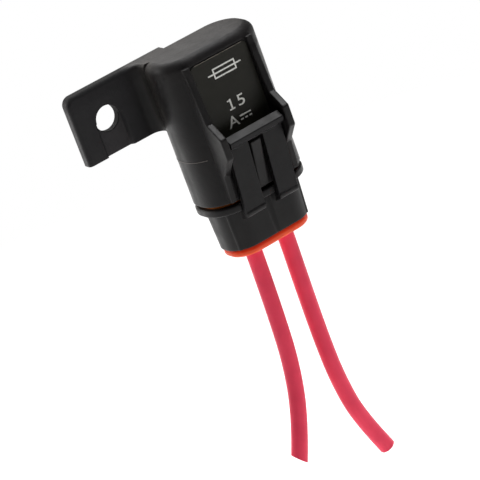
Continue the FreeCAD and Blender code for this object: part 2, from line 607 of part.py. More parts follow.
def make_terminal(side):
    """Stamped socket: a box with two spring tongues, a tapered neck and two crimps on the wire."""
    x = side * PITCH / 2
    top = CAVITY_TOP - BOX_TOP_GAP
    bottom = top - BOX_HEIGHT
    half_w = BOX_WIDTH / 2
    half_d = BOX_DEPTH / 2
    sheet = TERMINAL_SHEET
    shell = box(x - half_w, x + half_w, -half_d, half_d, bottom, top)
    shell = rounded(shell, sheet, lambda p: near(abs(p.x - x), half_w) and near(abs(p.y), half_d))
    shell = shell.cut(box(x - half_w + sheet, x + half_w - sheet, -half_d + sheet, half_d - sheet, bottom - 1, top + 1))
    leaves = [make_leaf(x, side_y, top - 0.3) for side_y in (-1, 1)]
    core = CONDUCTOR_DIAMETER / 2
    grip = WIRE_DIAMETER / 2
    neck = front_profile([
        (x - half_w + sheet, bottom + 0.5), (x + half_w - sheet, bottom + 0.5), (x + core, CRIMP_TOP - 0.4), (x - core, CRIMP_TOP - 0.4),
    ], half_d - sheet, half_d)
    crimp = upright(x, 0, core + sheet, CRIMP_TOP - CRIMP_LENGTH, CRIMP_TOP).cut(upright(x, 0, core, -HUGE / 2, HUGE / 2))
    bridge = box(x - core, x + core, core + sheet / 4, half_d, CRIMP_TOP - CRIMP_LENGTH, CRIMP_TOP)
    bridge = bridge.cut(upright(x, 0, core + sheet / 2, -HUGE / 2, HUGE / 2))
    wire_grip = upright(x, 0, grip + sheet, WIRE_GRIP_TOP - WIRE_GRIP_LENGTH, WIRE_GRIP_TOP)
    wire_grip = wire_grip.cut(upright(x, 0, grip, -HUGE / 2, HUGE / 2))
    strap = box(x - core, x + core, half_d - sheet, grip + sheet / 2, WIRE_GRIP_TOP - sheet, CRIMP_TOP - CRIMP_LENGTH + 0.4)
    strap = strap.cut(upright(x, 0, grip, -HUGE / 2, WIRE_GRIP_TOP))
    return shell.fuse(leaves + [neck, crimp, bridge, wire_grip, strap]).removeSplitter()


def route_path(points):
    """Straight runs joined by tangent arcs, each as large as its two runs allow."""
    edges = []
    start = points[0]
    radii = []
    for before, corner, after in zip(points, points[1:], points[2:]):
        way_in = (corner - before).normalize()
        way_out = (after - corner).normalize()
        turn = way_in.getAngle(way_out)
        cut = 0.45 * min((corner - before).Length, (after - corner).Length)
        radius = cut / math.tan(turn / 2)
        radii.append(radius)
        enter = corner - way_in * cut
        leave = corner + way_out * cut
        toward = (way_out - way_in).normalize()
        centre = corner + toward * (radius / math.cos(turn / 2))
        edges.append(Part.LineSegment(start, enter).toShape())
        edges.append(Part.Arc(enter, centre - toward * radius, leave).toShape())
        start = leave
    edges.append(Part.LineSegment(start, points[-1]).toShape())
    return Part.Wire(edges), radii


def make_wire(side, route):
    """Insulation and conductor of one lead, along the same route."""
    x = side * PITCH / 2
    below = [vec(px, 0, pz) for px, pz in route]
    jacket_path, radii = route_path([vec(x, 0, WIRE_TOP)] + below)
    core_path, _ = route_path([vec(x, 0, WIRE_TOP)] + below)
    def swept(path, radius):
        circle = Part.Wire([Part.makeCircle(radius, vec(x, 0, WIRE_TOP), vec(0, 0, 1))])
        return path.makePipeShell([circle], True, False)
    core = swept(core_path, CONDUCTOR_DIAMETER / 2)
    jacket = swept(jacket_path, WIRE_DIAMETER / 2).cut(core)
    stub = upright(x, 0, CONDUCTOR_DIAMETER / 2, WIRE_TOP, CRIMP_TOP - 0.3)
    section = math.pi * (WIRE_DIAMETER ** 2 - CONDUCTOR_DIAMETER ** 2) / 4
    print("wire", "left" if side < 0 else "right", "length %.1f" % jacket_path.Length,
          "radii", " ".join("%.0f" % radius for radius in radii),
          "volume ratio %.4f" % (jacket.Volume / (section * jacket_path.Length)))
    return jacket, core.fuse(stub).removeSplitter()


def place(shape):
    """Move from body coordinates to the centre of the mounting hole on the ear's back face."""
    moved = shape.copy()
    moved.translate(vec(-HOLE_X, -EAR_BACK, -HOLE_Z))
    return moved


def main():
    left_jacket, left_core = make_wire(-1, LEFT_ROUTE)
    right_jacket, right_core = make_wire(1, RIGHT_ROUTE)
    pieces = {
        "cover": make_cover(),
        "label": make_label(),
        "latch_arm": make_latch_arm(),
        "connector_body": make_connector_body(),
        "interface_seal": make_interface_seal(),
        "wire_seal": make_wire_seal([left_jacket, left_core, right_jacket, right_core]),
        "terminal_left": make_terminal(-1),
        "terminal_right": make_terminal(1),
        "fuse_body": make_fuse_body(),
        "fuse_element": make_fuse_element(),
        "wire_left": left_jacket,
        "wire_right": right_jacket,
        "conductor_left": left_core,
        "conductor_right": right_core,
    }
    os.makedirs("parts", exist_ok=True)
    for name, shape in pieces.items():
        print(name, "valid", shape.isValid(), "solids", len(shape.Solids), "volume %.1f" % shape.Volume)
        place(shape).exportStep("parts/%s.step" % name)


main()
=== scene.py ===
"""Fuse holder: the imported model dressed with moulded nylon, silicone, PVC and metal."""
import bpy
import math
from mathutils import Matrix, Vector


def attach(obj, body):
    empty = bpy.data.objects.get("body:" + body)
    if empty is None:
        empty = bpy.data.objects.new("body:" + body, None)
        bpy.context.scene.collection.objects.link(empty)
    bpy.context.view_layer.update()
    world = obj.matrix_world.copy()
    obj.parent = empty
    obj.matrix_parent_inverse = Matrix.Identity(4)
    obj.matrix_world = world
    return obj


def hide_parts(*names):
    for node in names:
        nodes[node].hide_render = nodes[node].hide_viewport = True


bl_info = {
    "name": "Fuse Holder",
    "version": (1, 0, 0),
    "blender": (4, 5, 0),
    "location": "View3D > Sidebar > Fuse Holder",
    "description": "Dresses the packed fuse holder and sets its stage",
    "category": "Object",
}

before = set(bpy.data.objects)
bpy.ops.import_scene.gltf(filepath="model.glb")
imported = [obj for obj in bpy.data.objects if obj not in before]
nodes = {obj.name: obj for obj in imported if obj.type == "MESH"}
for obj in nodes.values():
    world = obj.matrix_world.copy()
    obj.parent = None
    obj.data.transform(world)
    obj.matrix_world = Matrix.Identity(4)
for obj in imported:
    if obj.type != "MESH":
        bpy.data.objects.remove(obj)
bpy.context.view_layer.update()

MM = 0.001
# The middle of the cover's lower rim, in millimetres from the mounting hole
RIM = Vector((24.45, -9.1, -27.55))
# The cover seen from above: half its width and depth, and the radius of its corners
COVER_HALF_WIDTH = 13.65 * MM
COVER_HALF_DEPTH = 8.2 * MM
COVER_CORNER = 7.3 * MM
# The black nylon's grain, its width and depth in millimetres, and its mirror level, where 0.5 is usual
NYLON_GRAIN = 0.12
NYLON_GRAIN_DEPTH = 0.012
NYLON_SPECULAR = 0.18
# How a Map Range node blends without a hard line
SMOOTH = {"interpolation_type": "SMOOTHSTEP"}


def at(x, y, z):
    """A point given in millimetres from the middle of the cover's rim, in the part's own frame."""
    return (Vector((x, y, z)) + RIM) * MM


def linear(code):
    """An sRGB hex colour as linear red, green, blue and alpha."""
    values = [int(code[i:i + 2], 16) / 255 for i in (1, 3, 5)]
    return [v / 12.92 if v <= 0.04045 else ((v + 0.055) / 1.055) ** 2.4 for v in values] + [1.0]


def grey(value):
    """A plain number, such as a roughness, as a colour ramp holds it."""
    return [value, value, value, 1.0]


def add_node(tree, kind, settings=None, inputs=None, stops=()):
    """Adds a node, sets its own properties and a ramp's stops, and fills or links its inputs.

    A Mix node's inputs have no names of their own: 0 is the share, 2 and 3 are its two numbers,
    6 and 7 its two colours.
    """
    node = tree.nodes.new(kind)
    for name, value in (settings or {}).items():
        setattr(node, name, value)
    for number, (position, colour) in enumerate(stops):
        node.color_ramp.elements[number].color = colour
        node.color_ramp.elements[number].position = position
    for name, value in (inputs or {}).items():
        if isinstance(value, bpy.types.NodeSocket):
            tree.links.new(value, node.inputs[name])
        else:
            node.inputs[name].default_value = value
    return node


def new_material(name):
    """An empty node material with its output and its coordinate on the piece, in metres."""
    material = bpy.data.materials.new(name)
    material.use_nodes = True
    tree = material.node_tree
    tree.nodes.clear()
    output = add_node(tree, "ShaderNodeOutputMaterial")
    place = add_node(tree, "ShaderNodeTexCoord").outputs["Object"]
    return material, tree, output, place


def reopen(material):
    """A finished material's tree and shader, with a new coordinate on the piece."""
    tree = material.node_tree
    place = add_node(tree, "ShaderNodeTexCoord").outputs["Object"]
    return tree, tree.nodes["Principled BSDF"], place


def feed(shader, name):
    """What is linked to one of a shader's inputs."""
    return shader.inputs[name].links[0].from_socket


def patches(tree, place, width_mm, stops, detail, roughness=0.5):
    """Clouds of one colour in another, about so many millimetres wide.

    The stops are the two colours, each with the cloud's thickness that it stands for.
    """
    clouds = add_node(tree, "ShaderNodeTexNoise", None, {
        "Vector": place, "Scale": 1.0 / (width_mm * MM), "Detail": detail, "Roughness": roughness,
    })
    return add_node(tree, "ShaderNodeValToRGB", None, {"Fac": clouds.outputs["Fac"]}, stops).outputs["Color"]


def region(tree, *limits):
    """One where each measure is past the end of its limit, nothing before its start, and soft between."""
    share = 1.0
    for measure, start, end in limits:
        inside = add_node(tree, "ShaderNodeMapRange", SMOOTH, {
            "Value": measure, "From Min": start, "From Max": end,
        })
        product = add_node(tree, "ShaderNodeMath", {"operation": "MULTIPLY"}, {
            0: share, 1: inside.outputs["Result"],
        })
        share = product.outputs["Value"]
    return share


def stain(tree, base, colour, *limits):
    """Lays a hex colour over what is there, inside a region."""
    mix = add_node(tree, "ShaderNodeMix", {"data_type": "RGBA"}, {
        0: region(tree, *limits), 6: base, 7: linear(colour),
    })
    return mix.outputs[2]


def crowned(tree, place, normal):
    """The cover's top, which falls away to its rounded edge, sags to the right and is finely dented."""
    crown_height = 0.81 * MM
    sag_depth = 0.6 * MM
    dent_width = 1.0 * MM
    dent_depth = 0.07 * MM
    # the straight middle of the top reaches this far each way; the last number leaves height out of it
    straight = (COVER_HALF_WIDTH - COVER_CORNER, COVER_HALF_DEPTH - COVER_CORNER, 1.0)
    # from the straight middle, 0, out to the edge, 1, and how much of the crown's height is left there
    profile = ((0.2, 1.0), (0.35, 0.95), (0.50, 0.85), (0.70, 0.60), (0.82, 0.33), (0.96, 0.06))

    middle = add_node(tree, "ShaderNodeVectorMath", {"operation": "SUBTRACT"}, {0: place, 1: at(0, 0, 0)})
    middle = middle.outputs["Vector"]
    axes = add_node(tree, "ShaderNodeSeparateXYZ", None, {0: middle}).outputs
    top = region(tree, (axes["Z"], 30.0 * MM, 33.0 * MM))

    # the distance outwards from the straight middle, towards the round edge
    apart = add_node(tree, "ShaderNodeVectorMath", {"operation": "ABSOLUTE"}, {0: middle})
    beyond = add_node(tree, "ShaderNodeVectorMath", {"operation": "SUBTRACT"}, {
        0: apart.outputs["Vector"], 1: straight,
    })
    kept = add_node(tree, "ShaderNodeVectorMath", {"operation": "MAXIMUM"}, {
        0: beyond.outputs["Vector"], 1: (0.0, 0.0, 0.0),
    })
    reach = add_node(tree, "ShaderNodeVectorMath", {"operation": "LENGTH"}, {0: kept.outputs["Vector"]})
    share = add_node(tree, "ShaderNodeMapRange", None, {
        "Value": reach.outputs["Value"], "From Min": 0.0, "From Max": COVER_CORNER,
    })
    fall = add_node(tree, "ShaderNodeFloatCurve", None, {"Value": share.outputs["Result"]})
    points = fall.mapping.curves[0].points
    points[0].location = (0.0, 1.0)
    points[1].location = (1.0, 0.0)
    for out, height in profile:
        points.new(out, height)
    fall.mapping.update()

    far = add_node(tree, "ShaderNodeMapRange", None, {
        "Value": axes["X"], "From Min": -COVER_HALF_WIDTH / 2, "From Max": COVER_HALF_WIDTH,
    })
    sag = add_node(tree, "ShaderNodeMath", {"operation": "POWER"}, {0: far.outputs["Result"], 1: 2.0})
    dents = add_node(tree, "ShaderNodeTexNoise", None, {
        "Vector": place, "Scale": 1.0 / dent_width, "Detail": 3.0,
    })
    layers = (
        (fall.outputs["Value"], crown_height, False),
        (sag.outputs["Value"], sag_depth, True),
        (dents.outputs["Fac"], dent_depth, False),
    )
    for shape, depth, sunk in layers:
        height = add_node(tree, "ShaderNodeMath", {"operation": "MULTIPLY"}, {0: shape, 1: top})
        bump = add_node(tree, "ShaderNodeBump", {"invert": sunk}, {
            "Strength": 1.0, "Distance": depth, "Height": height.outputs["Value"], "Normal": normal,
        })
        normal = bump.outputs["Normal"]
    return normal


def moulded(name, colour, worn, roughness, grain, grain_depth, edge, ior=1.53, specular=0.5, form=None):
    """Moulded plastic or rubber: cloudy colour, patchy gloss, the mould's grain and softened edges.

    The grain's width and depth and the edges' radius are in millimetres.
    """
    cloud_width = 11.0
    flow_width = 3.8
    glossier = 0.05
    duller = 0.07
    material, tree, output, place = new_material(name)
    clouds = ((0.35, linear(colour)), (0.75, linear(worn)))
    base = patches(tree, place, cloud_width, clouds, 4.0, 0.6)
    flow = ((0.3, grey(roughness - glossier)), (0.7, grey(roughness + duller)))
    gloss = patches(tree, place, flow_width, flow, 3.0)
    normal = add_node(tree, "ShaderNodeBevel", {"samples": 6}, {"Radius": edge * MM}).outputs["Normal"]
    if form:
        normal = form(tree, place, normal)
    # real grain is a few hundredths of a millimetre wide and would not show at this distance, so the
    # widths given here are coarser, and each is also drawn 8 times as coarse and 4 times as deep, which
    # the eye sees as the slightly uneven skin of a moulding
    for coarser, deeper, detail in ((8, 4, 3.0), (1, 1, 2.0)):
        bumps = add_node(tree, "ShaderNodeTexNoise", None, {
            "Vector": place, "Scale": 1.0 / (coarser * grain * MM), "Detail": detail,
        })
        bump = add_node(tree, "ShaderNodeBump", None, {
            "Strength": 0.5, "Distance": deeper * grain_depth * MM, "Height": bumps.outputs["Fac"],
            "Normal": normal,
        })
        normal = bump.outputs["Normal"]
    shader = add_node(tree, "ShaderNodeBsdfPrincipled", None, {
        "Base Color": base, "Roughness": gloss, "IOR": ior, "Specular IOR Level": specular, "Normal": normal,
    })
    tree.links.new(shader.outputs["BSDF"], output.inputs["Surface"])
    return material


def metal(name, colour, dull, roughness, mark_width):
    """Bare or plated metal with fine rolling marks, so many millimetres wide, and patchy tarnish."""
    tarnish_width = 4.5
    glossier = 0.08
    duller = 0.1
    mark_depth = 0.01 * MM
    # real rolling marks are too fine to show, so these are coarser; they run up and down and are
    # 12.5 times as long as wide
    along_marks = (1.0, 1.0, 0.08)
    material, tree, output, place = new_material(name)
    base = patches(tree, place, tarnish_width, ((0.3, linear(colour)), (0.7, linear(dull))), 4.0)
    stretched = add_node(tree, "ShaderNodeMapping", None, {"Vector": place, "Scale": along_marks})
    marks = add_node(tree, "ShaderNodeTexNoise", None, {
        "Vector": stretched.outputs["Vector"], "Scale": 1.0 / (mark_width * MM), "Detail": 3.0,
    })
    gloss = add_node(tree, "ShaderNodeValToRGB", None, {"Fac": marks.outputs["Fac"]}, (
        (0.3, grey(roughness - glossier)), (0.7, grey(roughness + duller)),
    ))
    bump = add_node(tree, "ShaderNodeBump", None, {
        "Strength": 0.3, "Distance": mark_depth, "Height": marks.outputs["Fac"],
    })
    shader = add_node(tree, "ShaderNodeBsdfPrincipled", None, {
        "Base Color": base, "Metallic": 1.0, "Roughness": gloss.outputs["Color"],
        "Normal": bump.outputs["Normal"],
    })
    tree.links.new(shader.outputs["BSDF"], output.inputs["Surface"])
    return material


def insulation(name, colour, deep, diameter):
    """Extruded PVC: faint drawing lines along the wire and a slightly waxy gloss."""
    cloud_width = 6.2
    glossy = 0.34
    dull = 0.48
    # the UV map goes once along about 70 mm of wire and once round it; the real lines of the die are a
    # few hundredths of a millimetre wide and would not show, so these are coarser
    length = 70.0 * MM
    line_length = 21.9 * MM
    line_width = 0.268 * MM
    line_depth = 0.03 * MM
    material, tree, output, place = new_material(name)
    base = patches(tree, place, cloud_width, ((0.35, linear(colour)), (0.75, linear(deep))), 4.0)
    uv = add_node(tree, "ShaderNodeTexCoord").outputs["UV"]
    along = add_node(tree, "ShaderNodeMapping", None, {
        "Vector": uv, "Scale": (length / line_length, math.pi * diameter / line_width, 1.0),
    })
    lines = add_node(tree, "ShaderNodeTexNoise", None, {
        "Vector": along.outputs["Vector"], "Scale": 1.0, "Detail": 3.0,
    })
    gloss = add_node(tree, "ShaderNodeValToRGB", None, {"Fac": lines.outputs["Fac"]}, (
        (0.3, grey(glossy)), (0.7, grey(dull)),
    ))
    bump = add_node(tree, "ShaderNodeBump", None, {
        "Strength": 0.25, "Distance": line_depth, "Height": lines.outputs["Fac"],
    })
    # red light goes furthest into the PVC, which warms its shaded side
    shader = add_node(tree, "ShaderNodeBsdfPrincipled", None, {
        "Base Color": base, "Roughness": gloss.outputs["Color"], "IOR": 1.53, "Specular IOR Level": 0.12,
        "Normal": bump.outputs["Normal"], "Subsurface Weight": 0.04, "Subsurface Scale": 1.0,
        "Subsurface Radius": (0.8 * MM, 0.3 * MM, 0.2 * MM),
    })
    tree.links.new(shader.outputs["BSDF"], output.inputs["Surface"])
    return material


def deselect():
    """Leaves edit mode and lets go of everything."""
    if bpy.context.object and bpy.context.object.mode != "OBJECT":
        bpy.ops.object.mode_set(mode="OBJECT")
    bpy.ops.object.select_all(action="DESELECT")


def activate(piece):
    """Selects one piece alone, so that an operator acts on it."""
    deselect()
    piece.select_set(True)
    bpy.context.view_layer.objects.active = piece


def edit(piece):
    """Opens a piece in edit mode with all of its mesh selected."""
    activate(piece)
    bpy.ops.object.mode_set(mode="EDIT")
    bpy.ops.mesh.select_all(action="SELECT")


def chamfer(piece, width, steps):
    """Takes every edge off a piece."""
    edit(piece)
    bpy.ops.mesh.bevel(offset=width, segments=steps)
    bpy.ops.object.mode_set(mode="OBJECT")


def joined(pieces):
    """Makes one piece of several."""
    deselect()
    for piece in pieces:
        piece.select_set(True)
    bpy.context.view_layer.objects.active = pieces[0]
    bpy.ops.object.join()
    return bpy.context.object


def paint(piece, material):
    """Gives a piece this material alone."""
    piece.data.materials.clear()
    piece.data.materials.append(material)


def settle(piece, name, material, body):
    """Names a finished piece, applies its place, paints it and hangs it on its body."""
    activate(piece)
    bpy.ops.object.transform_apply(location=True, rotation=True, scale=True)
    piece.name = name
    piece.data.name = name
    paint(piece, material)
    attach(piece, body)


def flag_off(lamp, pieces):
    """Keeps a lamp's light off these pieces, as a black flag on a stand does in a studio."""
    shaded = bpy.data.collections.new("kept_from_" + lamp)
    for piece in pieces:
        shaded.objects.link(piece)
    for entry in shaded.collection_objects:
        entry.light_linking.link_state = "EXCLUDE"
    bpy.data.objects[lamp].light_linking.receiver_collection = shaded


class HolderStage(bpy.types.PropertyGroup):
    """The camera, the floor and the light"""
    azimuth: bpy.props.FloatProperty(
        name="Camera azimuth", description="How far the camera stands to the left of the front",
        default=math.radians(26.0), subtype="ANGLE", unit="ROTATION")
    elevation: bpy.props.FloatProperty(
        name="Camera elevation", description="How far the camera stands above the horizon",
        default=math.radians(20.0), subtype="ANGLE", unit="ROTATION")
    roll: bpy.props.FloatProperty(
        name="Camera roll", description="How far the object's top leans to the left in the picture",
        default=math.radians(20.19), subtype="ANGLE", unit="ROTATION")
    distance: bpy.props.FloatProperty(
        name="Camera distance", description="From the camera to the cover's rim",
        default=0.610, subtype="DISTANCE", unit="LENGTH")
    scale: bpy.props.FloatProperty(
        name="Picture scale", description="Picture points to a millimetre at the cover's rim", default=4.3)
    floor_drop: bpy.props.FloatProperty(
        name="Floor drop", description="From the cover's rim down to the floor",
        default=0.1140, subtype="DISTANCE", unit="LENGTH")
    world: bpy.props.FloatProperty(
        name="Surround light", description="Strength of the white surroundings", default=1.15)
    key: bpy.props.FloatProperty(
        name="Key light", description="Power of the large lamp above", default=4.9, unit="POWER")


class HolderPlastic(bpy.types.PropertyGroup):
    """The colours of the housings, the label and the wire seal"""
    black: bpy.props.StringProperty(
        name="Housing", description="Colour of the black nylon", default="#171617")
    black_worn: bpy.props.StringProperty(
        name="Housing, lighter", description="Lighter clouds in it", default="#1f1d1d")
    # the latch's colour: the housing's nylon painted a shade darker
    black_latch_shaded: bpy.props.StringProperty(
        name="Latch", description="Colour of the latch arm", default="#121113")
    roughness: bpy.props.FloatProperty(
        name="Housing roughness", description="Satin finish",
        default=0.40, min=0.0, max=1.0, subtype="FACTOR")
    film: bpy.props.StringProperty(
        name="Label", description="Colour of the label film", default="#1d1c16")
    ink: bpy.props.StringProperty(
        name="Print", description="Colour of the print", default="#f3f3ee")
    silicone: bpy.props.StringProperty(
        name="Wire seal", description="Colour of the silicone", default="#ea2e03")
    # the colour of the painted pale highlight along the wire seal's lower edge
    silicone_highlight: bpy.props.StringProperty(
        name="Wire seal, rubbed", description="Colour along its lower edge", default="#ff6643")


class HolderWire(bpy.types.PropertyGroup):
    """The wires' colours and sizes"""
    red: bpy.props.StringProperty(
        name="Insulation", description="Colour of the PVC", default="#fb4965")
    deep: bpy.props.StringProperty(
        name="Insulation, deeper", description="Deeper clouds in it", default="#ec415d")
    diameter: bpy.props.FloatProperty(
        name="Wire diameter", description="Over the insulation",
        default=0.0041, subtype="DISTANCE", unit="LENGTH")
    strand: bpy.props.FloatProperty(
        name="Strand diameter", description="One strand at the cut end",
        default=0.00046, subtype="DISTANCE", unit="LENGTH")


class FUSEHOLDER_OT_stage(bpy.types.Operator):
    """Sets the camera of the photograph, a pale table and soft studio light"""
    bl_idname = "fuseholder.stage"
    bl_label = "Stage"

    # the photograph's width and height in points, and where the middle of the cover's rim stands in it
    picture_points = 480.0
    rim_across = 247.0
    rim_down = 180.5
    # in millimetres, as a camera's sensor is given
    sensor_width = 36.0
    # in metres, so wide that its edge is never in view
    table_width = 8.0

    def execute(self, context):
        size = context.scene.holder_stage
        self.camera(context, size)
        self.table(size)
        self.surroundings(context, size.world)
        context.scene.view_settings.view_transform = "Standard"
        # the key shines down from the right, and a weaker lamp behind on the left draws a rim of light
        self.lamp(
            context, "key", place=(0.26, -0.08, 0.66), target=(0.02, -0.01, -0.06), width=0.35,
            power=size.key)
        self.lamp(
            context, "left_rim", place=(-0.60, 0.42, 0.16), target=(0.02, -0.01, -0.04), width=0.45,
            power=size.key * 0.5)
        # this one lights the table behind the object up to white
        self.lamp(
            context, "table_light", place=(0.15, 0.60, 0.75), target=(0.15, 0.50, -0.11), width=0.70,
            power=size.key * 2.3)
        return {"FINISHED"}

    def camera(self, context, size):
        """Looks from the photograph's side and leans as it does."""
        level = math.cos(size.elevation)
        into = Vector((
            math.sin(size.azimuth) * level, math.cos(size.azimuth) * level, -math.sin(size.elevation),
        ))
        right = Vector((math.cos(size.azimuth), -math.sin(size.azimuth), 0.0))
        up = right.cross(into)
        picture_right = right * math.cos(size.roll) - up * math.sin(size.roll)
        picture_up = right * math.sin(size.roll) + up * math.cos(size.roll)
        focal = size.scale * size.distance / MM
        # the rim isn't in the picture's middle, so the view turns a little to centre the frame
        off_right = self.rim_across - self.picture_points / 2
        off_up = self.picture_points / 2 - self.rim_down
        aim = (into * focal - picture_right * off_right - picture_up * off_up).normalized()
        frame_right = (picture_right - aim * picture_right.dot(aim)).normalized()
        frame_up = frame_right.cross(aim)
        camera = bpy.data.objects.new("camera", bpy.data.cameras.new("camera"))
        context.scene.collection.objects.link(camera)
        turn = Matrix((frame_right, frame_up, -aim)).transposed().to_4x4()
        camera.matrix_world = Matrix.Translation(at(0, 0, 0) - into * size.distance) @ turn
        camera.data.sensor_width = self.sensor_width
        camera.data.lens = self.sensor_width * focal / self.picture_points
        camera.data.clip_start = 0.01
        camera.data.clip_end = 20.0
        context.scene.camera = camera

    def table(self, size):
        """White laminate, pressed smooth: a soft, nearly even white with faint haze and a blurred shadow."""
        haze_width = 333.3
        deselect()
        bpy.ops.mesh.primitive_grid_add(
            x_subdivisions=8, y_subdivisions=8, size=self.table_width,
            location=at(0, 0, -size.floor_drop / MM))
        floor = bpy.context.object
        floor.name = "floor"
        material, tree, output, place = new_material("white_table_laminate")
        haze = ((0.3, linear("#f3f3f3")), (0.7, linear("#f7f7f7")))
        base = patches(tree, place, haze_width, haze, 2.0)
        laminate = add_node(tree, "ShaderNodeBsdfPrincipled", None, {"Base Color": base, "Roughness": 0.7})
        # far from the object the table runs into the white paper behind it
        away = add_node(tree, "ShaderNodeVectorMath", {"operation": "LENGTH"}, {0: place})
        far = add_node(tree, "ShaderNodeMapRange", None, {
            "Value": away.outputs["Value"], "From Min": 0.1, "From Max": 0.35,
        })
        seen = add_node(tree, "ShaderNodeLightPath").outputs["Is Camera Ray"]
        share = add_node(tree, "ShaderNodeMath", {"operation": "MULTIPLY"}, {
            0: far.outputs["Result"], 1: seen,
        })
        paper = add_node(tree, "ShaderNodeEmission", None, {"Color": linear("#ffffff"), "Strength": 1.0})
        mix = add_node(tree, "ShaderNodeMixShader", None, {
            0: share.outputs["Value"], 1: laminate.outputs["BSDF"], 2: paper.outputs["Emission"],
        })
        tree.links.new(mix.outputs["Shader"], output.inputs["Surface"])
        paint(floor, material)

    def surroundings(self, context, strength):
        """White paper behind and above the object, and a darker room behind the camera."""
        # the room turns from dark to bright between these shares of this way
        bright_side = (-0.25, 0.94, 0.22)
        dark_until = 0.52
        bright_from = 0.86
        world = bpy.data.worlds.new("studio")
        world.use_nodes = True
        tree = world.node_tree
        tree.nodes.clear()
        way = add_node(tree, "ShaderNodeTexCoord").outputs["Generated"]
        side = add_node(tree, "ShaderNodeVectorMath", {"operation": "DOT_PRODUCT"}, {0: way, 1: bright_side})
        light = add_node(tree, "ShaderNodeValToRGB", None, {"Fac": side.outputs["Value"]}, (
            (dark_until, linear("#303030")), (bright_from, linear("#fffaf3")),
        ))
        room = add_node(tree, "ShaderNodeBackground", None, {
            "Color": light.outputs["Color"], "Strength": strength,
        })
        paper = add_node(tree, "ShaderNodeBackground", None, {"Color": linear("#ffffff"), "Strength": 1.0})
        seen = add_node(tree, "ShaderNodeLightPath").outputs["Is Camera Ray"]
        mix = add_node(tree, "ShaderNodeMixShader", None, {
            0: seen, 1: room.outputs["Background"], 2: paper.outputs["Background"],
        })
        add_node(tree, "ShaderNodeOutputWorld", None, {"Surface": mix.outputs["Shader"]})
        context.scene.world = world

    def lamp(self, context, name, place, target, width, power):
        """A square lamp of this width, aimed at the target, all in metres and watts."""
        data = bpy.data.lights.new(name, "AREA")
        data.shape = "SQUARE"
        data.size = width
        data.energy = power
        lamp = bpy.data.objects.new(name, data)
        context.scene.collection.objects.link(lamp)
        lamp.location = place
        lamp.rotation_mode = "QUATERNION"
        lamp.rotation_quaternion = (Vector(target) - Vector(place)).to_track_quat("-Z", "Y")


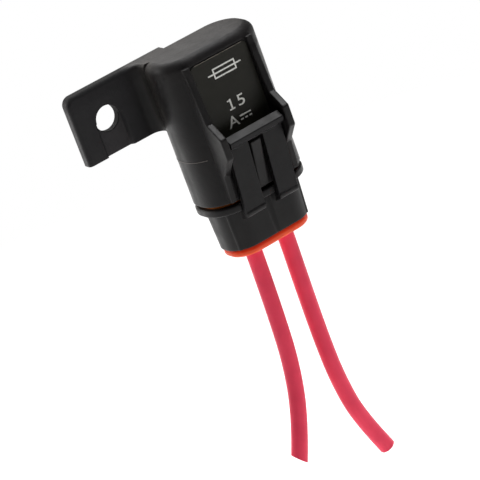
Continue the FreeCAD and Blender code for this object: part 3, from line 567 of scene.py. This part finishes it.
class FUSEHOLDER_OT_wires(bpy.types.Operator):
    """Makes the two wires, the left one's slanted end and the cut strands of both"""
    bl_idname = "fuseholder.wires"
    bl_label = "Wires"

    # x and z of each wire's route, from its terminal down to its cut end, in millimetres from the rim
    routes = {
        "left": (
            (-4.65, -0.7), (-4.65, -15.6), (-4.95, -30.9), (-5.6, -45.9), (-8.3, -59.4), (-12.1, -68.45),
        ),
        "right": (
            (4.65, -0.7), (4.65, -15.6), (4.3, -30.9), (4.15, -45.9), (4.6, -57.0), (6.5, -68.4),
            (10.9, -79.3),
        ),
    }
    # each wire's whole length in metres, and the level where both leave the seal
    lengths = {"left": 0.070, "right": 0.0796}
    exit_level = -15.1
    # the left wire was cut at a slant: a point on the cut, and the way that it faces
    slice_point = (-12.5, 0, -69.36)
    slice_way = (-0.7325, 0.0836, -0.676)
    # edges that turn more than this stay sharp
    sharp = math.radians(35)

    def execute(self, context):
        size = context.scene.holder_wire
        # flexible PVC, extruded over the strands: an even red with a waxy, slightly streaked shine
        jacket = insulation("pvc_wire_insulation", size.red, size.deep, size.diameter)
        # bare drawn copper, freshly cut: a warm, bright glint at the wires' ends
        copper = metal("bare_copper_strand", "#c98a5a", "#a8683f", roughness=0.32, mark_width=0.3)
        shaded = [nodes["wire_seal"]]
        for side, route in self.routes.items():
            wire = self.lead(context, side, route, size, jacket)
            ends = [self.cut_end(side, route, size, copper)]
            if side == "left":
                ends.append(self.slanted_end(route, size, jacket))
            shaded += [wire] + ends
        flag_off("left_rim", shaded)
        return {"FINISHED"}

    def lead(self, context, side, route, size, jacket):
        """One wire as a smooth round cord along its route."""
        curve = bpy.data.curves.new("wire_lead_" + side, "CURVE")
        curve.dimensions = "3D"
        spline = curve.splines.new("NURBS")
        spline.points.add(len(route) - 1)
        for point, (x, z) in zip(spline.points, route):
            point.co = (*at(x, 0, z), 1.0)
        spline.order_u = 3
        spline.use_endpoint_u = True
        spline.resolution_u = 24
        curve.bevel_depth = size.diameter / 2
        curve.bevel_resolution = 12
        curve.use_fill_caps = True
        wire = bpy.data.objects.new("wire_lead_" + side, curve)
        context.scene.collection.objects.link(wire)
        curve.materials.append(jacket)
        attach(wire, "connector")
        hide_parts("wire_" + side, "conductor_" + side)
        return wire

    def far_end(self, route):
        """The middle of a wire's cut end, and the way that it points."""
        (x0, z0), (x1, z1) = route[-2:]
        return at(x1, 0, z1), Vector((x1 - x0, 0, z1 - z0)).normalized()

    def slanted_end(self, route, size, jacket):
        """The last of the left wire's jacket, which the cutters sliced at a slant."""
        # it starts inside the cord, so it is a hair thinner, and is long enough to be cut right through
        thinner = 0.998
        depth = 4.0 * MM
        further = 1.0 * MM
        end, down = self.far_end(route)
        deselect()
        bpy.ops.mesh.primitive_cylinder_add(
            vertices=52, radius=size.diameter / 2 * thinner, depth=depth, location=end + down * further,
            rotation=down.to_track_quat("Z", "Y").to_euler())
        tip = bpy.context.object
        self.slice(tip, 0.0)
        settle(tip, "jacket_end_left", jacket, "connector")
        bpy.ops.object.shade_smooth_by_angle(angle=self.sharp)
        return tip

    def slice(self, piece, proud):
        """Cuts a piece off at the left wire's slant, so far beyond its jacket in millimetres."""
        activate(piece)
        bpy.ops.object.transform_apply(location=True, rotation=True, scale=True)
        edit(piece)
        place = Vector(self.slice_point) + Vector(self.slice_way) * proud
        bpy.ops.mesh.bisect(plane_co=at(*place), plane_no=self.slice_way, use_fill=True, clear_outer=True)
        bpy.ops.object.mode_set(mode="OBJECT")

    def cut_end(self, side, route, size, copper):
        """Nineteen strands that stand half a millimetre out of the cut insulation."""
        # each ring's radius, in steps of 0.56 of a strand's diameter, and how many strands it has; the same
        # number also turns the ring, so that the strands don't line up
        rings = ((0.0, 1), (0.94, 6), (1.9, 12))
        step_out = size.strand * 0.56
        proud = 0.45
        uneven = 0.12
        hidden = 1.2 * MM
        # the left wire's strands go on to the slanted cut, where they are cut off just beyond the jacket
        to_slant = 2.2 * MM
        past_slant = 0.12
        end, down = self.far_end(route)
        across = Vector((0, 1, 0)).cross(down)
        strands = []
        for ring, count in rings:
            for number in range(count):
                turn = 2 * math.pi * number / count + ring
                shift = (across * math.cos(turn) + Vector((0, 1, 0)) * math.sin(turn)) * ring * step_out
                reach = (proud + uneven * math.sin(len(strands) * 2.4)) * MM
                if side == "left":
                    reach += to_slant
                deselect()
                bpy.ops.mesh.primitive_cylinder_add(
                    vertices=14, radius=size.strand / 2, depth=reach + hidden,
                    location=end + shift + down * (reach / 2 - hidden / 2),
                    rotation=down.to_track_quat("Z", "Y").to_euler())
                strand = bpy.context.object
                chamfer(strand, 0.03 * MM, 1)
                strands.append(strand)
        bundle = joined(strands)
        if side == "left":
            self.slice(bundle, past_slant)
        settle(bundle, "strands_" + side, copper, "connector")
        bpy.ops.object.shade_smooth_by_angle(angle=self.sharp)
        return bundle


class FUSEHOLDER_OT_housings(bpy.types.Operator):
    """Finishes the cover, the connector body and the latch in black nylon and adds the mould's line"""
    bl_idname = "fuseholder.housings"
    bl_label = "Housings"

    def execute(self, context):
        look = context.scene.holder_plastic
        # glass-filled nylon, injection moulded: a satin black with soft, broken highlights on its edges
        body = moulded(
            "black_nylon_connector", look.black, look.black_worn, roughness=look.roughness,
            grain=NYLON_GRAIN, grain_depth=NYLON_GRAIN_DEPTH, edge=0.6, specular=NYLON_SPECULAR)
        paint(nodes["connector_body"], body)
        # the same nylon, its colour painted a little darker than the cover behind it as shade on the latch's
        # legs
        latch = moulded(
            "black_nylon_latch_painted_shade", look.black_latch_shaded, "#191818", roughness=look.roughness + 0.02,
            grain=NYLON_GRAIN, grain_depth=NYLON_GRAIN_DEPTH, edge=0.25, specular=0.155)
        paint(nodes["latch_arm"], latch)
        # the cover's nylon has the softly crowned, finely dented top that its mould and handling gave it
        crown = moulded(
            "black_nylon_cover", look.black, look.black_worn, roughness=look.roughness,
            grain=NYLON_GRAIN, grain_depth=NYLON_GRAIN_DEPTH, edge=0.5, specular=NYLON_SPECULAR,
            form=crowned)
        self.dull_top(crown)
        # paints light and shade on the mounting ear
        self.paint_ear_light_and_shade(crown)
        paint(nodes["cover"], crown)
        # the sliver of nylon that the mould's joint lets out: a thin line, painted paler than the walls as
        # the highlight along its ridge
        flash_highlight = moulded(
            "nylon_mould_flash_highlight", "#5e5a57", "#6b6764", roughness=0.5, grain=NYLON_GRAIN,
            grain_depth=NYLON_GRAIN_DEPTH, edge=0.05, specular=NYLON_SPECULAR)
        self.mould_line(flash_highlight)
        return {"FINISHED"}

    def dull_top(self, crown):
        """Handling has left the cover's top duller than its sides."""
        duller = 0.12
        tree, shader, place = reopen(crown)
        height = add_node(tree, "ShaderNodeSeparateXYZ", None, {0: place}).outputs["Z"]
        top = region(tree, (height, at(0, 0, 32.0).z, at(0, 0, 33.4).z))
        gloss = feed(shader, "Roughness")
        dull = add_node(tree, "ShaderNodeMath", {"operation": "ADD"}, {0: gloss, 1: duller})
        mix = add_node(tree, "ShaderNodeMix", {"data_type": "FLOAT"}, {
            0: top, 2: gloss, 3: dull.outputs["Value"],
        })
        tree.links.new(mix.outputs[0], shader.inputs["Roughness"])

    def paint_ear_light_and_shade(self, crown):
        """Greys the mounting ear, and paints light into its channel and the hollow beside the cap and shade
        on its top edge and hole.
        """
        tree, shader, place = reopen(crown)
        axes = add_node(tree, "ShaderNodeSeparateXYZ", None, {0: place}).outputs
        base = feed(shader, "Base Color")
        # the whole ear a shade lighter and bluer than the cover
        base = stain(tree, base, "#232224", (axes["X"], at(-13.0, 0, 0).x, at(-19.0, 0, 0).x))

        # the channel below the hole, 6.7 mm wide, with its floor 2 mm in front of the ear's back; painted
        # light at the foot of its walls lifts their shade
        floor_y = -2.0 * MM
        across = add_node(tree, "ShaderNodeMath", {"operation": "ABSOLUTE"}, {0: axes["X"]})
        level = add_node(tree, "ShaderNodeMath", {"operation": "SUBTRACT"}, {0: axes["Y"], 1: floor_y})
        off_floor = add_node(tree, "ShaderNodeMath", {"operation": "ABSOLUTE"}, {0: level.outputs["Value"]})
        base = stain(
            tree, base, "#323032", (across.outputs["Value"], 3.6 * MM, 3.3 * MM),
            (off_floor.outputs["Value"], 0.35 * MM, 0.15 * MM), (axes["Z"], 0.3 * MM, -0.3 * MM))

        # the hollow beside the cap, above the ear's lower edge, where the ear shades the flank: painted
        # light lifts that shade
        corner = at(-13.7, 2.4, 0)
        flat = add_node(tree, "ShaderNodeVectorMath", {"operation": "MULTIPLY"}, {
            0: place, 1: (1.0, 1.0, 0.0),
        })
        apart = add_node(tree, "ShaderNodeVectorMath", {"operation": "DISTANCE"}, {
            0: flat.outputs["Vector"], 1: (corner.x, corner.y, 0.0),
        })
        base = stain(
            tree, base, "#302e2d", (apart.outputs["Value"], 3.6 * MM, 1.4 * MM),
            (axes["Z"], at(0, 0, 18.4).z, at(0, 0, 20.6).z))

        # the ear's top edge and the wall of its hole, 3.15 mm in radius, are dull and carry painted shade
        dull_skin = 0.82
        edge = region(
            tree, (axes["Z"], 7.2 * MM, 8.2 * MM), (axes["X"], at(-14.0, 0, 0).x, at(-17.5, 0, 0).x))
        upright = add_node(tree, "ShaderNodeVectorMath", {"operation": "MULTIPLY"}, {
            0: place, 1: (1.0, 0.0, 1.0),
        })
        radius = add_node(tree, "ShaderNodeVectorMath", {"operation": "LENGTH"}, {
            0: upright.outputs["Vector"],
        })
        wall = region(tree, (radius.outputs["Value"], 3.3 * MM, 3.2 * MM))
        either = add_node(tree, "ShaderNodeMath", {"operation": "MAXIMUM"}, {0: edge, 1: wall})
        painted_dark_and_dull = either.outputs["Value"]
        dark = add_node(tree, "ShaderNodeMix", {"data_type": "RGBA"}, {
            0: painted_dark_and_dull, 6: base, 7: linear("#111112"),
        })
        dull = add_node(tree, "ShaderNodeMix", {"data_type": "FLOAT"}, {
            0: painted_dark_and_dull, 2: feed(shader, "Roughness"), 3: dull_skin,
        })
        tree.links.new(dark.outputs[2], shader.inputs["Base Color"])
        tree.links.new(dull.outputs[0], shader.inputs["Roughness"])

    def mould_line(self, flash_highlight):
        """The witness line of the mould, round the cover's flanks and back."""
        level = 11.6
        height = 0.16 * MM
        thickness = 0.1 * MM
        proud = 0.02 * MM
        # of its thickness, where -1 is all inwards and 1 all outwards
        outwards = -0.2
        # the line ends where the guard rails stand on the cover's front
        rails_level = -6.67
        deselect()
        bpy.ops.mesh.primitive_plane_add(size=1.0, location=at(0, 0, level))
        line = bpy.context.object
        line.scale = (2 * (COVER_HALF_WIDTH + proud), 2 * (COVER_HALF_DEPTH + proud), 1.0)
        bpy.ops.object.transform_apply(location=False, rotation=False, scale=True)
        edit(line)
        bpy.ops.mesh.bevel(offset=COVER_CORNER + proud, segments=20, affect="VERTICES")
        bpy.ops.mesh.delete(type="ONLY_FACE")
        bpy.ops.mesh.select_all(action="SELECT")
        bpy.ops.mesh.extrude_region_move(TRANSFORM_OT_translate={"value": (0, 0, height)})
        bpy.ops.mesh.select_all(action="SELECT")
        bpy.ops.mesh.bisect(plane_co=at(0, rails_level, 0), plane_no=(0, -1, 0), clear_outer=True)
        bpy.ops.mesh.select_all(action="SELECT")
        bpy.ops.mesh.normals_make_consistent(inside=False)
        bpy.ops.object.mode_set(mode="OBJECT")
        wall = line.modifiers.new("Wall", "SOLIDIFY")
        wall.thickness = thickness
        wall.offset = outwards
        bpy.ops.object.modifier_apply(modifier=wall.name)
        settle(line, "mould_line", flash_highlight, "cover")
        bpy.ops.object.shade_smooth_by_angle(angle=math.radians(40))


class FUSEHOLDER_OT_label(bpy.types.Operator):
    """Finishes the label film, prints its plain marks and bares the paper at its cut upper edge, whose pale
    line is also a painted highlight
    """
    bl_idname = "fuseholder.label"
    bl_label = "Label"

    # the ink is printed on the label's front: its middle level and its thickness, in millimetres
    ink_level = -8.005
    ink_thickness = 0.024
    # the width of a printed line
    thick = 0.36
    # the bare paper, a pale strip that is also a painted highlight: its middle, level, width and height
    upper_edge_highlight = (0.0, 33.46, 13.3, 0.13)

    def execute(self, context):
        look = context.scene.holder_plastic
        # polyester film with a matt varnish: a brownish black, duller and flatter than the nylon round it
        film = moulded(
            "polyester_label_film", look.film, "#22211a", roughness=0.46, grain=0.25, grain_depth=0.006,
            edge=0.08, ior=1.57, specular=0.2)
        paint(nodes["label"], film)
        # screen-printed ink: an opaque, slightly warm white that stands just proud of the film
        ink = moulded(
            "screen_printed_ink", look.ink, "#e2e2dc", roughness=0.55, grain=0.15, grain_depth=0.01,
            edge=0.03, ior=1.5)
        marks = [
            self.text("5", x=1.75, z=20.05, height=3.75, wide=1.25),
            self.text("A", x=-1.9, z=16.2, height=3.75, wide=1.15),
        ]
        marks += self.bars(
            self.fuse_sign(0.45, 29.65) + self.digit_one(-1.0, 20.05) + self.direct_current_sign(1.6, 17.4))
        settle(joined(marks), "label_print", ink, "cover")
        # the label's cut upper edge bares its paper, and this pale strip is also a painted highlight: a thin
        # greyish line along the top of the label only
        paper = moulded(
            "cut_label_stock_and_highlight", "#8f877c", "#7c756b", roughness=0.5, grain=0.15, grain_depth=0.01,
            edge=0.03, ior=1.5)
        edge = self.bars([self.upper_edge_highlight])[0]
        chamfer(edge, 0.01 * MM, 2)
        settle(edge, "label_cut_edge", paper, "cover")
        return {"FINISHED"}

    def text(self, words, x, z, height, wide):
        """A letter or number of this height, drawn so many times as wide as it comes."""
        bolder = 0.02 * MM
        deselect()
        bpy.ops.object.text_add(location=at(x, self.ink_level, z), rotation=(math.pi / 2, 0, 0))
        mark = bpy.context.object
        mark.data.body = words
        mark.data.size = height * MM
        mark.data.align_x = "CENTER"
        mark.data.offset = bolder
        mark.data.extrude = self.ink_thickness / 2 * MM
        mark.scale = (wide, 1.0, 1.0)
        bpy.ops.object.convert(target="MESH")
        return bpy.context.object

    def fuse_sign(self, x, z):
        """The plain sign for a fuse: a box with a line through it, as bars that don't overlap."""
        thick = self.thick
        half = 3.1
        rise = 1.1
        lead = 1.5
        side = half - thick / 2
        return [
            (x, z + rise, 2 * half, thick),
            (x, z, 2 * (half - thick), thick),
            (x, z - rise, 2 * half, thick),
            (x - side, z, thick, 2 * rise - thick),
            (x + side, z, thick, 2 * rise - thick),
            (x - half - lead / 2, z, lead, thick),
            (x + half + lead / 2, z, lead, thick),
        ]

    def digit_one(self, x, z):
        """A plain one: its stem, its foot and its flag."""
        return [(x, z + 1.49, 0.44, 2.3), (x, z + 0.17, 1.5, 0.34), (x - 0.51, z + 2.3, 0.58, 0.34)]

    def direct_current_sign(self, x, z):
        """The plain sign for direct current: a line over three short dashes."""
        rise = 0.45
        dash = 0.8
        pitch = 1.2
        line = [(x, z + rise, 3.2, self.thick)]
        return line + [(x + step * pitch, z - rise, dash, self.thick) for step in (-1, 0, 1)]

    def bars(self, places):
        """A flat printed bar for each middle, level, width and height."""
        made = []
        for middle, level, width, height in places:
            deselect()
            bpy.ops.mesh.primitive_cube_add(size=1.0, location=at(middle, self.ink_level, level))
            bar = bpy.context.object
            bar.scale = (width * MM, self.ink_thickness * MM, height * MM)
            bpy.ops.object.transform_apply(location=False, rotation=False, scale=True)
            made.append(bar)
        return made


class FUSEHOLDER_OT_seals(bpy.types.Operator):
    """Finishes the two silicone seals"""
    bl_idname = "fuseholder.seals"
    bl_label = "Seals"

    def execute(self, context):
        look = context.scene.holder_plastic
        # silicone rubber, moulded and slightly oily: a saturated orange that light sinks into
        orange = self.silicone("orange_silicone_rubber", look.silicone, "#f2420a")
        # painted shade under the rim and a painted highlight along the seal's lower edge
        self.paint_seal_shade_and_highlight(orange, look.silicone_highlight)
        paint(nodes["wire_seal"], orange)
        # the cover's seal is the same orange rubber, painted darker as a dark amber line for the shadow of
        # the gap it sits in
        shaded_orange = self.silicone("orange_silicone_in_painted_shade", "#7d430d", "#8a4f12")
        self.paint_shade_behind_latch(shaded_orange)
        paint(nodes["interface_seal"], shaded_orange)
        return {"FINISHED"}

    def silicone(self, name, colour, worn):
        """Silicone rubber, in which red light goes furthest."""
        rubber = moulded(
            name, colour, worn, roughness=0.34, grain=0.2, grain_depth=0.01, edge=0.2, ior=1.43,
            specular=0.1)
        shader = rubber.node_tree.nodes["Principled BSDF"]
        shader.inputs["Subsurface Weight"].default_value = 0.2
        shader.inputs["Subsurface Radius"].default_value = (1.2 * MM, 0.4 * MM, 0.2 * MM)
        shader.inputs["Subsurface Scale"].default_value = 1.0
        return rubber

    def paint_seal_shade_and_highlight(self, orange, highlight):
        """Paints the wire seal: painted shade under the rim, a painted pale highlight along its lower edge
        and painted shade again below it.
        """
        # where each band starts and ends, in millimetres from the rim, and its colour: painted shade,
        # painted highlight, painted shade
        bands = ((-13.45, -12.7, "#b02402"), (-13.25, -13.9, highlight), (-14.15, -14.75, "#e2583a"))
        tree, shader, place = reopen(orange)
        height = add_node(tree, "ShaderNodeSeparateXYZ", None, {0: place}).outputs["Z"]
        base = feed(shader, "Base Color")
        for start, end, colour in bands:
            base = stain(tree, base, colour, (height, at(0, 0, start).z, at(0, 0, end).z))
        tree.links.new(base, shader.inputs["Base Color"])

    def paint_shade_behind_latch(self, shaded_orange):
        """Painted shade darkens the cover's seal behind the latch's legs, in the slot between them."""
        tree, shader, place = reopen(shaded_orange)
        front = at(0, -8, 0)
        apart = add_node(tree, "ShaderNodeVectorMath", {"operation": "DISTANCE"}, {0: place, 1: front})
        behind = (apart.outputs["Value"], 8.5 * MM, 6.0 * MM)
        base = stain(tree, feed(shader, "Base Color"), "#120a04", behind)
        tree.links.new(base, shader.inputs["Base Color"])


class FUSEHOLDER_OT_electrics(bpy.types.Operator):
    """Finishes the fuse and the terminals"""
    bl_idname = "fuseholder.electrics"
    bl_label = "Fuse and terminals"

    def execute(self, context):
        # brass strip, tin plated and stamped: a pale, soft shine with fine rolling marks
        tin = metal("tin_plated_brass", "#cfcdc6", "#b4b0a6", roughness=0.3, mark_width=0.35)
        for name in ("terminal_left", "terminal_right"):
            paint(nodes[name], tin)
        # zinc alloy sheet, stamped: a cooler and greyer metal than the tin
        zinc = metal("stamped_zinc", "#b9bdc2", "#9ea3a8", roughness=0.34, mark_width=0.3)
        paint(nodes["fuse_element"], zinc)
        # polycarbonate, moulded glossy: the blue that stands for 15 amperes
        blue = moulded(
            "blue_fuse_polycarbonate", "#1f5fb8", "#2667c0", roughness=0.22, grain=0.4,
            grain_depth=0.004, edge=0.15, ior=1.58)
        paint(nodes["fuse_body"], blue)
        return {"FINISHED"}


class FUSEHOLDER_PT_panel(bpy.types.Panel):
    """Lists the steps that make the fuse holder, and its sizes and colours"""
    bl_idname = "FUSEHOLDER_PT_panel"
    bl_label = "Fuse Holder"
    bl_space_type = "VIEW_3D"
    bl_region_type = "UI"
    bl_category = "Fuse Holder"

    def draw(self, context):
        for operator in OPERATORS:
            self.layout.operator(operator.bl_idname)
        for group in GROUPS:
            settings = getattr(context.scene, group)
            for name in settings.__annotations__:
                self.layout.prop(settings, name)


OPERATORS = (
    FUSEHOLDER_OT_stage,
    FUSEHOLDER_OT_wires,
    FUSEHOLDER_OT_housings,
    FUSEHOLDER_OT_label,
    FUSEHOLDER_OT_seals,
    FUSEHOLDER_OT_electrics,
)
GROUPS = {"holder_stage": HolderStage, "holder_plastic": HolderPlastic, "holder_wire": HolderWire}


def register():
    for name, group in GROUPS.items():
        bpy.utils.register_class(group)
        setattr(bpy.types.Scene, name, bpy.props.PointerProperty(type=group))
    for item in OPERATORS + (FUSEHOLDER_PT_panel,):
        bpy.utils.register_class(item)


def unregister():
    for item in reversed(OPERATORS + (FUSEHOLDER_PT_panel,)):
        bpy.utils.unregister_class(item)
    for name, group in GROUPS.items():
        delattr(bpy.types.Scene, name)
        bpy.utils.unregister_class(group)


def main():
    register()
    bpy.ops.fuseholder.stage()
    bpy.ops.fuseholder.wires()
    bpy.ops.fuseholder.housings()
    bpy.ops.fuseholder.label()
    bpy.ops.fuseholder.seals()
    bpy.ops.fuseholder.electrics()
    bpy.context.view_layer.update()


if __name__ == "__main__":
    main()
